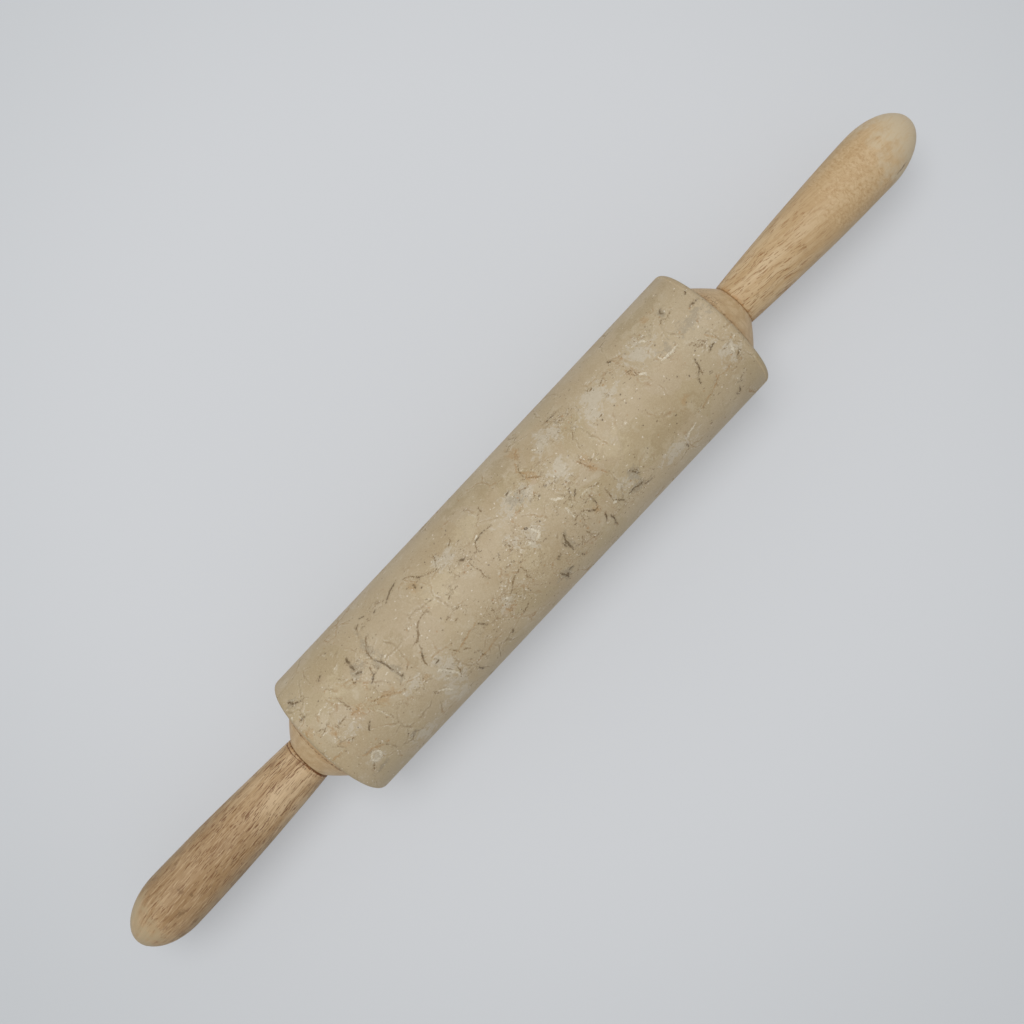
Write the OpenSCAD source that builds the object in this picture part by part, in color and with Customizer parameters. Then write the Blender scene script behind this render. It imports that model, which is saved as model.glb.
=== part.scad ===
// Marble rolling pin: a bored stone roller with a wooden collar glued into each end, turning on
// a steel rod that screws into two blind-drilled wooden handles.
// Millimetres. The rod lies along X, the origin is the middle of the roller on its axis.

/* [Roller] */
// Diameter of the stone roller
roller_d = 65; // [58:0.5:74]
// Length of the stone roller
roller_len = 242; // [180:1:300]
// Rounding of the roller's two rims
rim_round = 2.5; // [1:0.25:4]
// Diameter of the hole drilled through the stone
roller_bore_d = 22; // [20:0.5:28]

/* [Collars] */
// Diameter of the collar where it meets the stone
collar_d = 44; // [36:0.5:50]
// How much slimmer the collar's neck is than the handle that it meets
neck_step = 0.5; // [0:0.1:1]
// Length of the collar outside the stone
collar_len = 12.2; // [10:0.1:20]
// Width of the straight band at the collar's wide end
collar_land = 0.8; // [0.4:0.1:2]
// How far the collar's slope bulges beyond a straight cone
collar_crown = 0.5; // [0:0.1:1.5]
// Length of the spigot glued into the stone
spigot_len = 28; // [20:1:40]

/* [Handles] */
// Length of a handle
handle_len = 107.9; // [90:0.1:130]
// Diameter of the left handle at its inner end
left_neck_d = 22.6; // [20.5:0.1:25]
// Diameter of the right handle at its inner end, a little slimmer, as both are turned by hand
right_neck_d = 21.4; // [20.5:0.1:25]
// Largest diameter of a handle
handle_belly_d = 29; // [26:0.5:34]
// Length of the rounded outer end
nose_len = 24; // [16:1:32]
// Diameter of the small flat left by the lathe at the tip
tip_d = 7; // [3:0.5:10]
// Chamfer round the handle's inner face
handle_chamfer = 0.5; // [0.2:0.1:1]
// Width of the bead turned at the left handle's inner end
bead_w = 1.2; // [0.8:0.1:2]
// Depth of the groove beside that bead
bead_groove = 0.35; // [0.2:0.05:0.6]

/* [Axle] */
// Diameter of the steel rod
rod_d = 8; // [6:0.25:9]
// Length of rod inside each handle
rod_grip = 36; // [30:1:50]
// Chamfer at the rod's ends
rod_chamfer = 1; // [0.5:0.1:1.5]
// Pitch of the rod's thread
rod_pitch = 1.25; // [1:0.25:1.5]
// Depth of the rod's thread
rod_thread = 0.65; // [0.4:0.05:0.75]

/* [Threaded inserts] */
// Length of the brass insert in each handle
insert_len = 20; // [14:1:26]
// Wall of the insert under its outer thread
insert_wall = 1.4; // [1.2:0.1:1.8]
// Pitch of the insert's outer thread
insert_pitch = 2.5; // [2:0.25:3.5]
// Depth of the insert's outer thread
insert_thread = 0.8; // [0.5:0.1:1]
// Width of the screwdriver slot across the insert's face
slot_w = 1.6; // [1:0.1:2.5]
// Depth of the screwdriver slot
slot_deep = 2; // [1:0.1:3]

/* [Bushes and washers] */
// Wall of the plastic bush
bush_wall = 2; // [1.5:0.25:2.5]
// Length of the bush under its flange
bush_len = 24; // [16:1:32]
// Width of the bush's flange beyond its sleeve
flange_w = 1.9; // [1.2:0.1:2]
// Thickness of the bush's flange
flange_t = 1.5; // [1:0.1:2]
// Width of the steel washer's ring
washer_w = 3.7; // [3:0.1:3.8]
// Thickness of the steel washer
washer_t = 1.6; // [1:0.1:2]

/* [Clearances] */
// Gap that shows between collar and handle
joint_gap = 0.3; // [0.2:0.05:0.8]
// End float between bush flange and washer
end_float = 0.1; // [0.05:0.05:0.2]
// Gap all round the rod in the bush
running_gap = 0.05; // [0.02:0.01:0.1]
// Gap all round the rod in the washer
washer_gap = 0.2; // [0.1:0.05:0.4]
// Gap all round the rod in the handle past its insert
drill_gap = 0.4; // [0.2:0.1:0.8]
// Glue line between stone and spigot, and between collar and bush
glue_gap = 0.05; // [0.02:0.01:0.15]
// Gap between mating threads
thread_gap = 0.04; // [0.02:0.01:0.08]
// Gap round the flange and washer in the collar's recess
recess_gap = 0.3; // [0.1:0.05:0.4]
// Clear depth of the drilled hole past the rod's end
drill_spare = 2; // [1:0.5:4]

/* [Hidden] */
$fn = 96;
eps = 0.01;
curve_steps = 28;
nose_steps = 22;
round_steps = 8;
slope_steps = 10;
belly_power = 1.75;
drill_point_angle = 59;
crest_share = 0.15;

stone = [0.80, 0.75, 0.62];
pale_wood = [0.80, 0.68, 0.48];
collar_wood = [0.76, 0.63, 0.44];
steel = [0.62, 0.63, 0.65];
brass = [0.80, 0.66, 0.33];
nylon = [0.93, 0.92, 0.88];

roller_r = roller_d / 2;
roller_end = roller_len / 2;
collar_end = roller_end + collar_len;
handle_face = collar_end + joint_gap;
rod_r = rod_d / 2;
rod_end = handle_face + rod_grip;

bush_bore_r = rod_r + running_gap;
bush_r = bush_bore_r + bush_wall;
flange_r = bush_r + flange_w;
washer_bore_r = rod_r + washer_gap;
washer_r = washer_bore_r + washer_w;
washer_seat = handle_face - washer_t;
flange_outer = washer_seat - end_float;
flange_inner = flange_outer - flange_t;

spigot_r = roller_bore_d / 2 - glue_gap;
collar_bore_r = bush_r + glue_gap;
recess_r = max(flange_r, washer_r) + recess_gap;

insert_core_r = rod_r + insert_wall;
handle_belly_x = handle_len - nose_len * sqrt(1 - pow(tip_d / handle_belly_d, 2));

// Lays a shape modelled along Z along X, starting at the given distance from the middle.
module along_x(from) {
    translate([from, 0, 0]) rotate([0, 90, 0]) children();
}

// Mirrors a right-hand piece to the left end.
module to_left() {
    mirror([1, 0, 0]) children();
}

module tube(outer_r, inner_r, length) {
    difference() {
        cylinder(r = outer_r, h = length);
        translate([0, 0, -eps]) cylinder(r = inner_r, h = length + 2 * eps);
    }
}

// Outline of a row of V-shaped ridges: radius root_r in the valleys, root_r + depth on the narrow crests.
function ridges(root_r, depth, pitch, count) = [
    for (i = [0 : count - 1], corner = [0 : 3])
        [
            root_r + ((corner == 1 || corner == 2) ? depth : 0),
            pitch * (i + [0, 0.5 - crest_share / 2, 0.5 + crest_share / 2, 1][corner]
                - (corner == 3 ? crest_share / 2 : 0))
        ]
];

// Solid bar with ridges, grown all round by gap: one call makes a thread and another its mating groove.
module ridged_bar(root_r, depth, pitch, length, gap = 0) {
    count = floor(length / pitch);
    rotate_extrude()
        polygon(concat(
            [[0, 0]],
            ridges(root_r + gap, depth, pitch, count),
            [[root_r + gap, length], [0, length]]
        ));
}

function roller_outline() = concat(
    [[0, 0]],
    [for (i = [0 : round_steps])
        let (a = -90 + 90 * i / round_steps)
        [roller_r - rim_round + rim_round * cos(a), rim_round + rim_round * sin(a)]],
    [for (i = [0 : round_steps])
        let (a = 90 * i / round_steps)
        [roller_r - rim_round + rim_round * cos(a), roller_len - rim_round + rim_round * sin(a)]],
    [[0, roller_len]]
);

module marble_roller() {
    color(stone) along_x(-roller_end)
        difference() {
            rotate_extrude() polygon(roller_outline());
            translate([0, 0, -eps]) cylinder(d = roller_bore_d, h = roller_len + 2 * eps);
        }
}

// Radius of the collar's slope, from 0 at the straight band to 1 at the neck.
function slope_r(t, neck_d) = collar_d / 2 * (1 - t) + neck_d / 2 * t + 4 * collar_crown * t * (1 - t);

function collar_outline(neck_d) = concat(
    [[0, 0], [collar_d / 2, 0]],
    [for (i = [0 : slope_steps])
        let (t = i / slope_steps)
        [slope_r(t, neck_d), collar_land + (collar_len - collar_land) * t]],
    [[0, collar_len]]
);

module collar(handle_neck_d) {
    color(collar_wood) difference() {
        union() {
            along_x(roller_end - spigot_len) cylinder(r = spigot_r, h = spigot_len + collar_land);
            along_x(roller_end) rotate_extrude() polygon(collar_outline(handle_neck_d - neck_step));
        }
        along_x(roller_end - spigot_len - eps)
            cylinder(r = collar_bore_r, h = spigot_len + collar_len + 2 * eps);
        along_x(flange_inner) cylinder(r = recess_r, h = collar_len);
    }
}

module bush() {
    color(nylon) {
        along_x(flange_inner - bush_len)
            difference() {
                union() {
                    cylinder(r = bush_r, h = bush_len + flange_t);
                    translate([0, 0, bush_len]) cylinder(r = flange_r, h = flange_t);
                }
                translate([0, 0, -eps]) cylinder(r = bush_bore_r, h = bush_len + flange_t + 2 * eps);
            }
    }
}

module washer() {
    color(steel) along_x(washer_seat) tube(washer_r, washer_bore_r, washer_t);
}

// Rod from its middle to one threaded end, the smooth part running through the bush and the washer.
module half_rod() {
    root_r = rod_r - rod_thread;
    thread_len = rod_grip - rod_chamfer;
    along_x(0) cylinder(r = rod_r, h = handle_face);
    along_x(handle_face - eps)
        ridged_bar(root_r, rod_thread, rod_pitch, thread_len + eps);
    along_x(rod_end - rod_chamfer - eps)
        cylinder(r1 = root_r, r2 = root_r - rod_chamfer / 2, h = rod_chamfer + eps);
}

module axle_rod() {
    color(steel) {
        half_rod();
        to_left() half_rod();
    }
}

module insert() {
    color(brass) along_x(handle_face)
        difference() {
            ridged_bar(insert_core_r, insert_thread, insert_pitch, insert_len);
            translate([0, 0, -eps])
                ridged_bar(rod_r - rod_thread, rod_thread, rod_pitch, insert_len + 2 * eps, thread_gap);
            translate([-insert_core_r - insert_thread - eps, -slot_w / 2, -eps])
                cube([2 * (insert_core_r + insert_thread + eps), slot_w, slot_deep + eps]);
        }
}

// Radius of a handle at a distance from its inner face, up to the belly.
function swell_r(x, neck_d) = neck_d / 2
    + (handle_belly_d - neck_d) / 2 * (1 - pow(1 - x / handle_belly_x, belly_power));

// The V-shaped groove from the bead to where the plain handle starts.
function groove_outline(plain_x, neck_d) = [
    [swell_r(bead_w, neck_d), bead_w],
    [swell_r(bead_w, neck_d) - bead_groove, (bead_w + plain_x) / 2],
    [swell_r(plain_x, neck_d), plain_x]
];

function handle_outline(neck_d, with_bead) =
    let (plain_x = with_bead ? bead_w + 2 * bead_groove : handle_chamfer)
    concat(
    [[0, 0], [neck_d / 2 - handle_chamfer, 0], [swell_r(handle_chamfer, neck_d), handle_chamfer]],
    with_bead ? groove_outline(plain_x, neck_d) : [],
    [for (i = [1 : curve_steps])
        let (x = plain_x + (handle_belly_x - plain_x) * i / curve_steps)
        [swell_r(x, neck_d), x]],
    [for (i = [1 : nose_steps - 1])
        let (a = acos(tip_d / handle_belly_d) * i / nose_steps)
        [handle_belly_d / 2 * cos(a), handle_belly_x + nose_len * sin(a)]],
    [[tip_d / 2, handle_len], [0, handle_len]]
);

module handle(neck_d, with_bead) {
    hole_r = rod_r + drill_gap;
    hole_len = rod_grip + drill_spare;
    color(pale_wood) along_x(handle_face)
        difference() {
            rotate_extrude() polygon(handle_outline(neck_d, with_bead));
            translate([0, 0, -eps])
                ridged_bar(insert_core_r, insert_thread, insert_pitch, insert_len + eps, thread_gap);
            cylinder(r = hole_r, h = hole_len);
            translate([0, 0, hole_len])
                cylinder(r1 = hole_r, r2 = 0, h = hole_r / tan(drill_point_angle));
        }
}

marble_roller();
to_left() collar(left_neck_d);  // left_collar
collar(right_neck_d);  // right_collar
to_left() bush();  // left_bush
bush();  // right_bush
axle_rod();
to_left() washer();  // left_washer
washer();  // right_washer
to_left() insert();  // left_insert
insert();  // right_insert
to_left() handle(left_neck_d, true);  // left_handle
handle(right_neck_d, false);  // right_handle
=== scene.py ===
import math

import bmesh
import bpy
import numpy as np
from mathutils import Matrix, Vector, noise


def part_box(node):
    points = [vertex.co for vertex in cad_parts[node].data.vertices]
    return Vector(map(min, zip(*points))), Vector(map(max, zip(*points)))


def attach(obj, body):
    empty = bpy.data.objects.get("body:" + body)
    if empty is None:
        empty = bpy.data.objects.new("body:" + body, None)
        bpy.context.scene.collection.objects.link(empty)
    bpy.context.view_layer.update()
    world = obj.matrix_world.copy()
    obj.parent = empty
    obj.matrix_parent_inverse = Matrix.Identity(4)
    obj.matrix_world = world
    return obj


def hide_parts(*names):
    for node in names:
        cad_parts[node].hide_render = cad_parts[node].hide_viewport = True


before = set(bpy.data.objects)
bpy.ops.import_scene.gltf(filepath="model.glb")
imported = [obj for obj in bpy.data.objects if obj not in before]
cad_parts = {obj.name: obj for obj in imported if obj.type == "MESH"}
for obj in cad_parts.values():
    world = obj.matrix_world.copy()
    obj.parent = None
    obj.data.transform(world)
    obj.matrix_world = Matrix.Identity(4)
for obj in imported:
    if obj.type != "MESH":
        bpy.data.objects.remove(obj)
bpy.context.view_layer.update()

MM = 0.001

# Places read from the frame, in metres

ROLLER_LOW, ROLLER_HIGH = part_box("marble_roller")
COLLAR_LOW, COLLAR_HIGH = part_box("right_collar")
HANDLE_LOW, HANDLE_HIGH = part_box("right_handle")
INSERT_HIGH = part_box("right_insert")[1]
BUSH_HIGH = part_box("right_bush")[1]

ROLLER_R = ROLLER_HIGH.z
ROLLER_END = ROLLER_HIGH.x
HANDLE_FACE = HANDLE_LOW.x
HANDLE_TIP = HANDLE_HIGH.x
BELLY_R = HANDLE_HIGH.z
FLOOR_Z = ROLLER_LOW.z

# Sizes that the frame's boxes don't give

RIM_ROUND = 2.5 * MM
ROLLER_BORE_R = 11 * MM
COLLAR_R = 22 * MM
COLLAR_LAND = 0.8 * MM
COLLAR_CROWN = 0.5 * MM
SPIGOT_R = 10.95 * MM
COLLAR_BORE_R = 6.1 * MM
RECESS_R = 8.25 * MM
FLANGE = 1.5 * MM
NECK_STEP = 0.25 * MM
HANDLE_CHAMFER = 0.5 * MM
BEAD_WIDTH = 1.2 * MM
BEAD_GROOVE = 0.35 * MM
NOSE_LENGTH = 24 * MM
TIP_R = 3.5 * MM
BELLY_POWER = 1.75
DRILL_R = 4.4 * MM
DRILL_DEPTH = 38 * MM
INSERT_GAP = 0.05 * MM
DRILL_POINT = 0.6
SANDED_DEPTH = 0.12 * MM
SANDED_WAVES_ALONG = 60
SANDED_WAVES_ROUND = 1.4
HANDLE_NECK_R = {"left": 11.3 * MM, "right": 10.7 * MM}

# The lip at each collar's neck: how much of the joint stays in sight, and how far below the neck's
# radius its rim, its inner edge and its foot lie

JOINT_SHOWS = {"left": 0.14 * MM, "right": 0.06 * MM}
LIP_RIM = 0.05 * MM
LIP_DEPTH = 0.6 * MM
LIP_FOOT = 0.7 * MM

# Distance from the stone's face to the brown ring of glue on each collar, in mm like the marks below
GLUE_RING = {"left": 3.5, "right": 2.5}

# Marks in the stone, seen from above: x in mm, then degrees from the top towards +Y.
# A stroke is its half width in mm and the points that it runs through.

DARK_STROKES = (
    (0.5, (-86, 29), (-87, 22), (-86.5, 18)),
    (0.4, (-87, 15), (-85, 13)),
    (0.3, (-78, 12), (-76.5, 7), (-75.5, -2)),
    (0.35, (-75, -6), (-75, -11), (-73.8, -10)),
    (0.3, (-85.5, 3), (-82, 5)),
    (0.4, (-116.5, 41), (-115, 36)),
    (0.3, (-114.2, 36), (-112.2, 33)),
    (0.25, (-117.2, 22), (-114.5, 22)),
    (0.25, (-101, 33.5), (-99.5, 35.5)),
    (0.3, (-75.5, 41), (-74, 43)),
    (0.3, (-71.5, 47), (-69.8, 45)),
    (0.22, (-73.2, 37.5), (-72, 38)),
    (0.25, (-65.5, 39.5), (-64, 40.5)),
    (0.3, (-58.5, 38), (-56, 41.5), (-53.5, 43), (-50.5, 46)),
    (0.32, (-42.2, 33.5), (-40.7, 30.5)),
    (0.35, (-45.8, 30.5), (-45, 28.5), (-45.4, 27.5)),
    (0.25, (-64, -14), (-62.5, -9)),
    (0.28, (-100.5, -20.5), (-97.5, -15.5)),
    (0.28, (-62.5, -22.5), (-60, -22)),
    (0.3, (-38.5, -25), (-37, -28), (-36.2, -30.5)),
    (0.4, (-31.8, -55), (-31.0, -52.5)),
    (0.4, (-52.3, -54), (-51.5, -60)),
    (0.35, (-24.6, 17), (-23, 14.8)),
    (0.25, (-14.8, 17.5), (-13, 17.8), (-10.5, 19), (-8.5, 18.8)),
    (0.25, (7.5, 25.3), (10.2, 26)),
    (0.28, (26.5, -11.5), (28.3, -8.5)),
    (0.2, (26.3, -6.5), (25.8, -9)),
    (0.3, (26, -27.5), (28, -31)),
    (0.28, (30.4, -28), (30.9, -20)),
    (0.35, (12.3, -24.5), (11, -29), (10.4, -35), (10, -41)),
    (0.22, (9.4, -30.5), (9, -35)),
    (0.35, (3.2, -36.5), (5.5, -35)),
    (0.4, (-0.5, -48), (0, -53), (1, -59)),
    (0.3, (1.5, -54.5), (1.2, -57)),
    (0.38, (3.2, -52.5), (5, -53.2)),
    (0.3, (11.5, -51), (12, -54)),
    (0.28, (30, -38.5), (29.5, -42), (28.3, -46)),
    (0.28, (31.3, -45), (31.2, -50), (30.4, -54), (30.4, -59)),
    (0.25, (37.2, -38), (38, -41), (39.3, -44.5)),
    (0.32, (48.8, -28.5), (49.8, -31), (51.6, -37.5)),
    (0.25, (43, -43.5), (45.5, -43), (47.5, -44.5)),
    (0.5, (48, -44.3), (49.3, -45)),
    (0.25, (50, -48), (53.5, -49.5)),
    (0.25, (39.5, 45.5), (42, 45.2), (47, 44.3)),
    (0.28, (75.9, 41), (76.4, 38.8)),
    (0.25, (77.2, 39.3), (78, 38.8)),
    (0.3, (106.8, 39), (105.3, 38), (105, 35.2), (105.8, 34)),
    (0.3, (114, 21.3), (116, 21.6), (119, 20.6)),
    (0.25, (117, 31.5), (118, 33)),
    (0.25, (106.8, -11), (108, -10), (110.2, -10)),
    (0.22, (99.9, -7), (99.3, -11.5), (98.5, -14.5), (96, -18)),
    (0.25, (95.5, -19), (94.8, -23)),
    (0.28, (113.6, -29.5), (115.2, -27)),
    (0.25, (107, -46), (108.8, -49)),
    (0.28, (105.3, -55.5), (106.6, -50.5)),
    (0.22, (103.5, -54), (104.2, -57)),
    (0.25, (74, -52), (74, -56)),
    (0.42, (2.7, -2.5), (3.7, -3.3)),
    (0.42, (20.5, 8.8), (21.5, 8)),
    (0.3, (16.6, 6.6), (17.2, 6)),
)
CRACKS = (
    (0.26, (-73.5, 30), (-77, 24), (-78.5, 17), (-78, 12)),
    (0.25, (-64.7, -18.5), (-64, -13.5), (-62.5, -9), (-60.5, -4)),
    (0.35, (-60.5, -2), (-58.5, 1), (-55.5, 7), (-52.5, 9)),
    (0.16, (-82, 5), (-80, 5.5), (-79, 6.8), (-80, 11)),
    (0.18, (-82.5, 8), (-81, 12)),
    (0.16, (-90, 15.5), (-90.5, 11)),
    (0.24, (-99.5, 13.5), (-99.4, 4), (-98.3, 2)),
    (0.16, (-115.5, 6.5), (-112.5, 5)),
    (0.16, (-115, 2.5), (-111, 4)),
    (0.18, (-108.3, -2), (-105.5, -1), (-102.5, -1.2)),
    (0.16, (-109.5, -14), (-108, -15.5), (-105.5, -15.5)),
    (0.18, (-101, -37), (-99.8, -41), (-99, -47)),
    (0.18, (-110, -41), (-112.5, -47)),
    (0.18, (-71.5, -8.5), (-70, -7.5)),
    (0.2, (-62.3, -1), (-60, -1)),
    (0.18, (-71.8, -38), (-70.5, -41.5)),
    (0.16, (-94, 22), (-92.5, 19)),
    (0.2, (-52.5, 9), (-50, 9.5), (-49, 9), (-48.2, 6)),
    (0.2, (-47.5, 42), (-45, 40), (-43.5, 37.5), (-42.2, 33.5)),
    (0.16, (-40.7, 30.5), (-37, 27.5), (-33, 24)),
    (0.2, (-31, 37), (-31.5, 33), (-33, 28), (-33.8, 25)),
    (0.16, (-24, 31), (-22, 33.5), (-21, 37)),
    (0.16, (-28.5, 29), (-27.5, 26)),
    (0.18, (-23, 14.8), (-21.3, 11.8), (-19.3, 12.4), (-17, 12.8), (-15, 17)),
    (0.15, (-8.5, 18.8), (-5.5, 17)),
    (0.13, (-22.6, 11), (-22.2, 3), (-21.8, -5), (-21.3, -9)),
    (0.16, (-38.5, 5.6), (-36, 5.2), (-33, 5)),
    (0.22, (-39, 2.8), (-37.8, 3.8)),
    (0.14, (-35, 12), (-35.2, 8.5)),
    (0.14, (-31.5, 11), (-30, 10.5)),
    (0.2, (-45.8, -5.2), (-44, -5)),
    (0.22, (-44, -11), (-42, -11)),
    (0.26, (-41.2, -3), (-40.5, -5), (-38.5, -6)),
    (0.2, (-37, -7), (-36, -8.8)),
    (0.2, (-38.5, -11.3), (-37.8, -12.3)),
    (0.22, (-15, -0.5), (-13.4, -0.5)),
    (0.26, (-5.8, 0), (-6.5, -4.5)),
    (0.22, (-20.5, -28), (-18, -25), (-16, -22), (-14.5, -21.5), (-10.8, -19)),
    (0.2, (-9.5, -19), (-9.3, -24), (-10.5, -28), (-9.8, -30.5)),
    (0.18, (-30, -24.3), (-30.2, -28.5)),
    (0.2, (-53, -25), (-52, -27.5), (-52.5, -29.8)),
    (0.22, (-49.2, -31), (-48, -34.5)),
    (0.2, (-57.2, -37), (-57.5, -41), (-59.5, -47)),
    (0.18, (-47, -40), (-46.5, -54)),
    (0.22, (-22.5, -48.5), (-20, -47), (-18.3, -45)),
    (0.16, (-9, 45), (-7.5, 40)),
    (0.2, (-4, 36), (-4.5, 31)),
    (0.2, (-61, -31), (-59.5, -35)),
    (0.2, (13, 19.4), (12, 17.4)),
    (0.18, (14, 18.8), (16.5, 17.5)),
    (0.2, (12.5, 9), (14.5, 8.5), (16.5, 10)),
    (0.15, (23, 7), (25, 5.8), (27, 7.5)),
    (0.15, (21, -10), (25, -10), (24, -12.5)),
    (0.18, (19.4, -25), (21, -24), (24.5, -23.5), (26, -27)),
    (0.15, (22.3, -29.5), (23, -26)),
    (0.2, (28, -31), (30, -30.5)),
    (0.2, (14.4, -44), (15.5, -42), (17, -38)),
    (0.22, (19, -47), (21, -48.5), (23, -49)),
    (0.16, (20.2, -41), (19.5, -38.5)),
    (0.2, (37, -26), (36.5, -33), (36.2, -37)),
    (0.18, (32.3, -15.5), (34, -16), (36.8, -18.5)),
    (0.16, (51, -31), (52.3, -35.5)),
    (0.2, (41, -1), (41.4, -3.3)),
    (0.2, (56, 14.5), (58, 14)),
    (0.16, (61.3, 35.5), (62.3, 36.5), (63.5, 34.5), (62, 34)),
    (0.2, (66, 31), (67.8, 33)),
    (0.14, (68, 33), (72.5, 35)),
    (0.13, (64.8, 24), (65.8, 20)),
    (0.2, (77.5, 24), (77.9, 19), (79.4, 15.4), (80, 18), (79, 21.5), (78, 22)),
    (0.16, (104, 29), (109, 30)),
    (0.18, (101.5, 29.3), (102.8, 30.8)),
    (0.13, (101.5, 4), (104, 0.5), (107, -5.5)),
    (0.13, (105.5, 1.5), (108.5, -5)),
    (0.13, (103.5, -1), (106, -5.5)),
    (0.18, (98.5, -15), (98, -18.5)),
    (0.18, (108.5, -46), (110, -44.5)),
    (0.16, (-15, -11), (-11, -12)),
    (0.16, (45, 21), (42.5, 17)),
    (0.18, (19.8, 37), (18.3, 30), (17.8, 25), (19.5, 20.5), (22.6, 16)),
    (0.16, (37.4, 2.5), (38.2, -3), (39.4, -7)),
    (0.14, (-91, -7.5), (-87, -9.5), (-84, -13)),
)
RUST_STROKES = (
    (0.3, (-100.5, -3), (-97, -3.6), (-94.3, -2.6)),
    (0.28, (-91, -7), (-86, -10), (-83, -14), (-80, -18), (-78, -18.5)),
    (0.28, (-120, 8), (-118.5, 12), (-116.6, 13)),
    (0.25, (-110, 4), (-110, -3), (-112, -7)),
    (0.28, (-121, -16), (-113, -17)),
    (0.28, (-111, -28.5), (-109.5, -32), (-105, -31.5), (-103.5, -34), (-101.5, -36.5)),
    (0.22, (-54.5, -28.5), (-48, -27), (-43, -24.5), (-38, -23)),
    (0.28, (-50, -47.5), (-44.5, -48.5), (-38, -46), (-34.5, -45.8)),
    (0.3, (-26, -33), (-25.8, -38)),
    (0.3, (-24.2, -34), (-22.2, -38)),
    (0.22, (1.6, 9.5), (5, 9.3), (8, 10.6), (9.3, 10)),
    (0.2, (1.6, 9.5), (1.8, 5), (2.4, 1), (2.8, -2.5)),
    (0.3, (24.5, 47), (22, 46), (21.8, 43), (20, 41)),
    (0.25, (19, 40), (18.8, 36), (17.5, 32), (19.4, 26), (18, 22)),
    (0.32, (18, 22), (20, 20), (22.8, 15.2)),
    (0.38, (37.2, 4), (38, -2), (39.2, -6), (40.6, -9.8)),
    (0.2, (40.6, -9.8), (42.6, -18)),
    (0.25, (86, -38), (90, -37), (94, -35), (99, -33), (102.5, -29.5)),
    (0.2, (102.5, -29.5), (106, -31), (109, -29.5)),
    (0.3, (109.5, -0.5), (112.2, -7.8)),
    (0.35, (29, -31), (29.4, -34)),
)
WHITE_STROKES = (
    (0.25, (-110, 14.3), (-107.5, 16.3), (-105, 14.8)),
    (0.4, (-63, -28), (-60.5, -34), (-59, -41), (-59.5, -48)),
    (0.5, (18.6, -1), (20, -3.5), (22.3, -6.5)),
    (0.4, (20.3, -13), (20, -17), (19.8, -22)),
    (0.25, (29, -15), (32, -16), (36, -17)),
    (0.4, (90.5, 12.5), (91, 9), (94.5, 8), (98.4, 8)),
    (0.3, (75.5, -48), (79, -44.6), (82.3, -43.8)),
    (0.6, (3, -14), (5.8, -11.5), (4.8, -6)),
    (0.4, (-5, -10.8), (-3.3, -12.4)),
    (0.5, (35.8, -38.8), (36.8, -39.2)),
    (0.25, (114.3, -20), (118, -16)),
    (0.3, (113.6, -25), (114.5, -20)),
    (0.5, (-120.4, 27.3), (-119.5, 28.3)),
    (0.32, (-107, -34.6), (-105, -36), (-104.4, -39), (-106, -42.8), (-108.6, -41.5), (-109.5, -38),
     (-107, -34.6)),
    (0.3, (-69.5, -40), (-67, -46), (-66, -50)),
    (0.15, (-95, -9), (-91.5, -15), (-90.3, -25)),
    (0.3, (-14, 19.2), (-12.2, 20)),
    (0.4, (-73.8, 8.5), (-73, 8.5)),
    (0.35, (28.3, 36), (29, 34)),
    (0.3, (44, 32.3), (45, 31)),
    (0.35, (46.3, 22.2), (46.6, 22.2)),
    (0.3, (43, -2.3), (44.3, -1)),
    (0.4, (-0.8, -12), (0.3, -11)),
    (0.4, (80.6, 13.5), (82.3, 11)),
    (0.5, (90.3, 32), (92.3, 27)),
    (0.4, (61.7, -2.8), (62.1, -2.8)),
    (0.4, (-102.2, -7), (-101.6, -8)),
    (0.3, (-63.6, -38), (-63.2, -38)),
    (0.3, (-23.7, -27.5), (-22, -28)),
    (0.3, (18.7, 31), (19.8, 29.5)),
    (0.35, (-59.2, 10), (-58.9, 10)),
    (0.25, (-92.5, 31.3), (-91.2, 31.6)),
    (0.25, (39, 4), (40, 1)),
    (0.4, (8.5, 24.5), (9.8, 24.6)),
)
DARK_SPECKS = (
    (-92, 48), (-45.5, 15), (-31, 15.7), (-20.2, 43.5), (-21.6, 41), (-35.5, 37), (56.5, 11), (69, 14),
    (68, 7), (66, -13), (76.3, -31), (78.5, -26), (79.5, -36), (83, 34.5), (90, -7), (93.5, -13),
    (-81, -40), (-71, -41), (-16.5, -36), (-14, -38), (-9.8, -12), (-8.1, -16.5), (100.5, -22),
    (36, -55), (-93.5, -59), (64, 12), (-106.3, 22), (-102.5, -12.5), (-88.3, 2.5), (-78, -18.5),
    (-92, -47.5), (-27.5, 43), (-43.5, 24), (-18, -0.8), (-48.5, -40), (9.2, -6.2), (45, 36),
    (36.5, 11), (86.8, -27.5), (61, -27.5), (-12, -1.3), (-47, -2.2), (-21.3, 11.6), (34.6, -9),
    (-90, 11.2), (102.3, -3.6), (-60.5, -19.5),
)

# Soft patches: x, degrees, half length along x and half width across it in mm. The last rows of
# each list are for the side that the photograph doesn't show.

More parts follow.
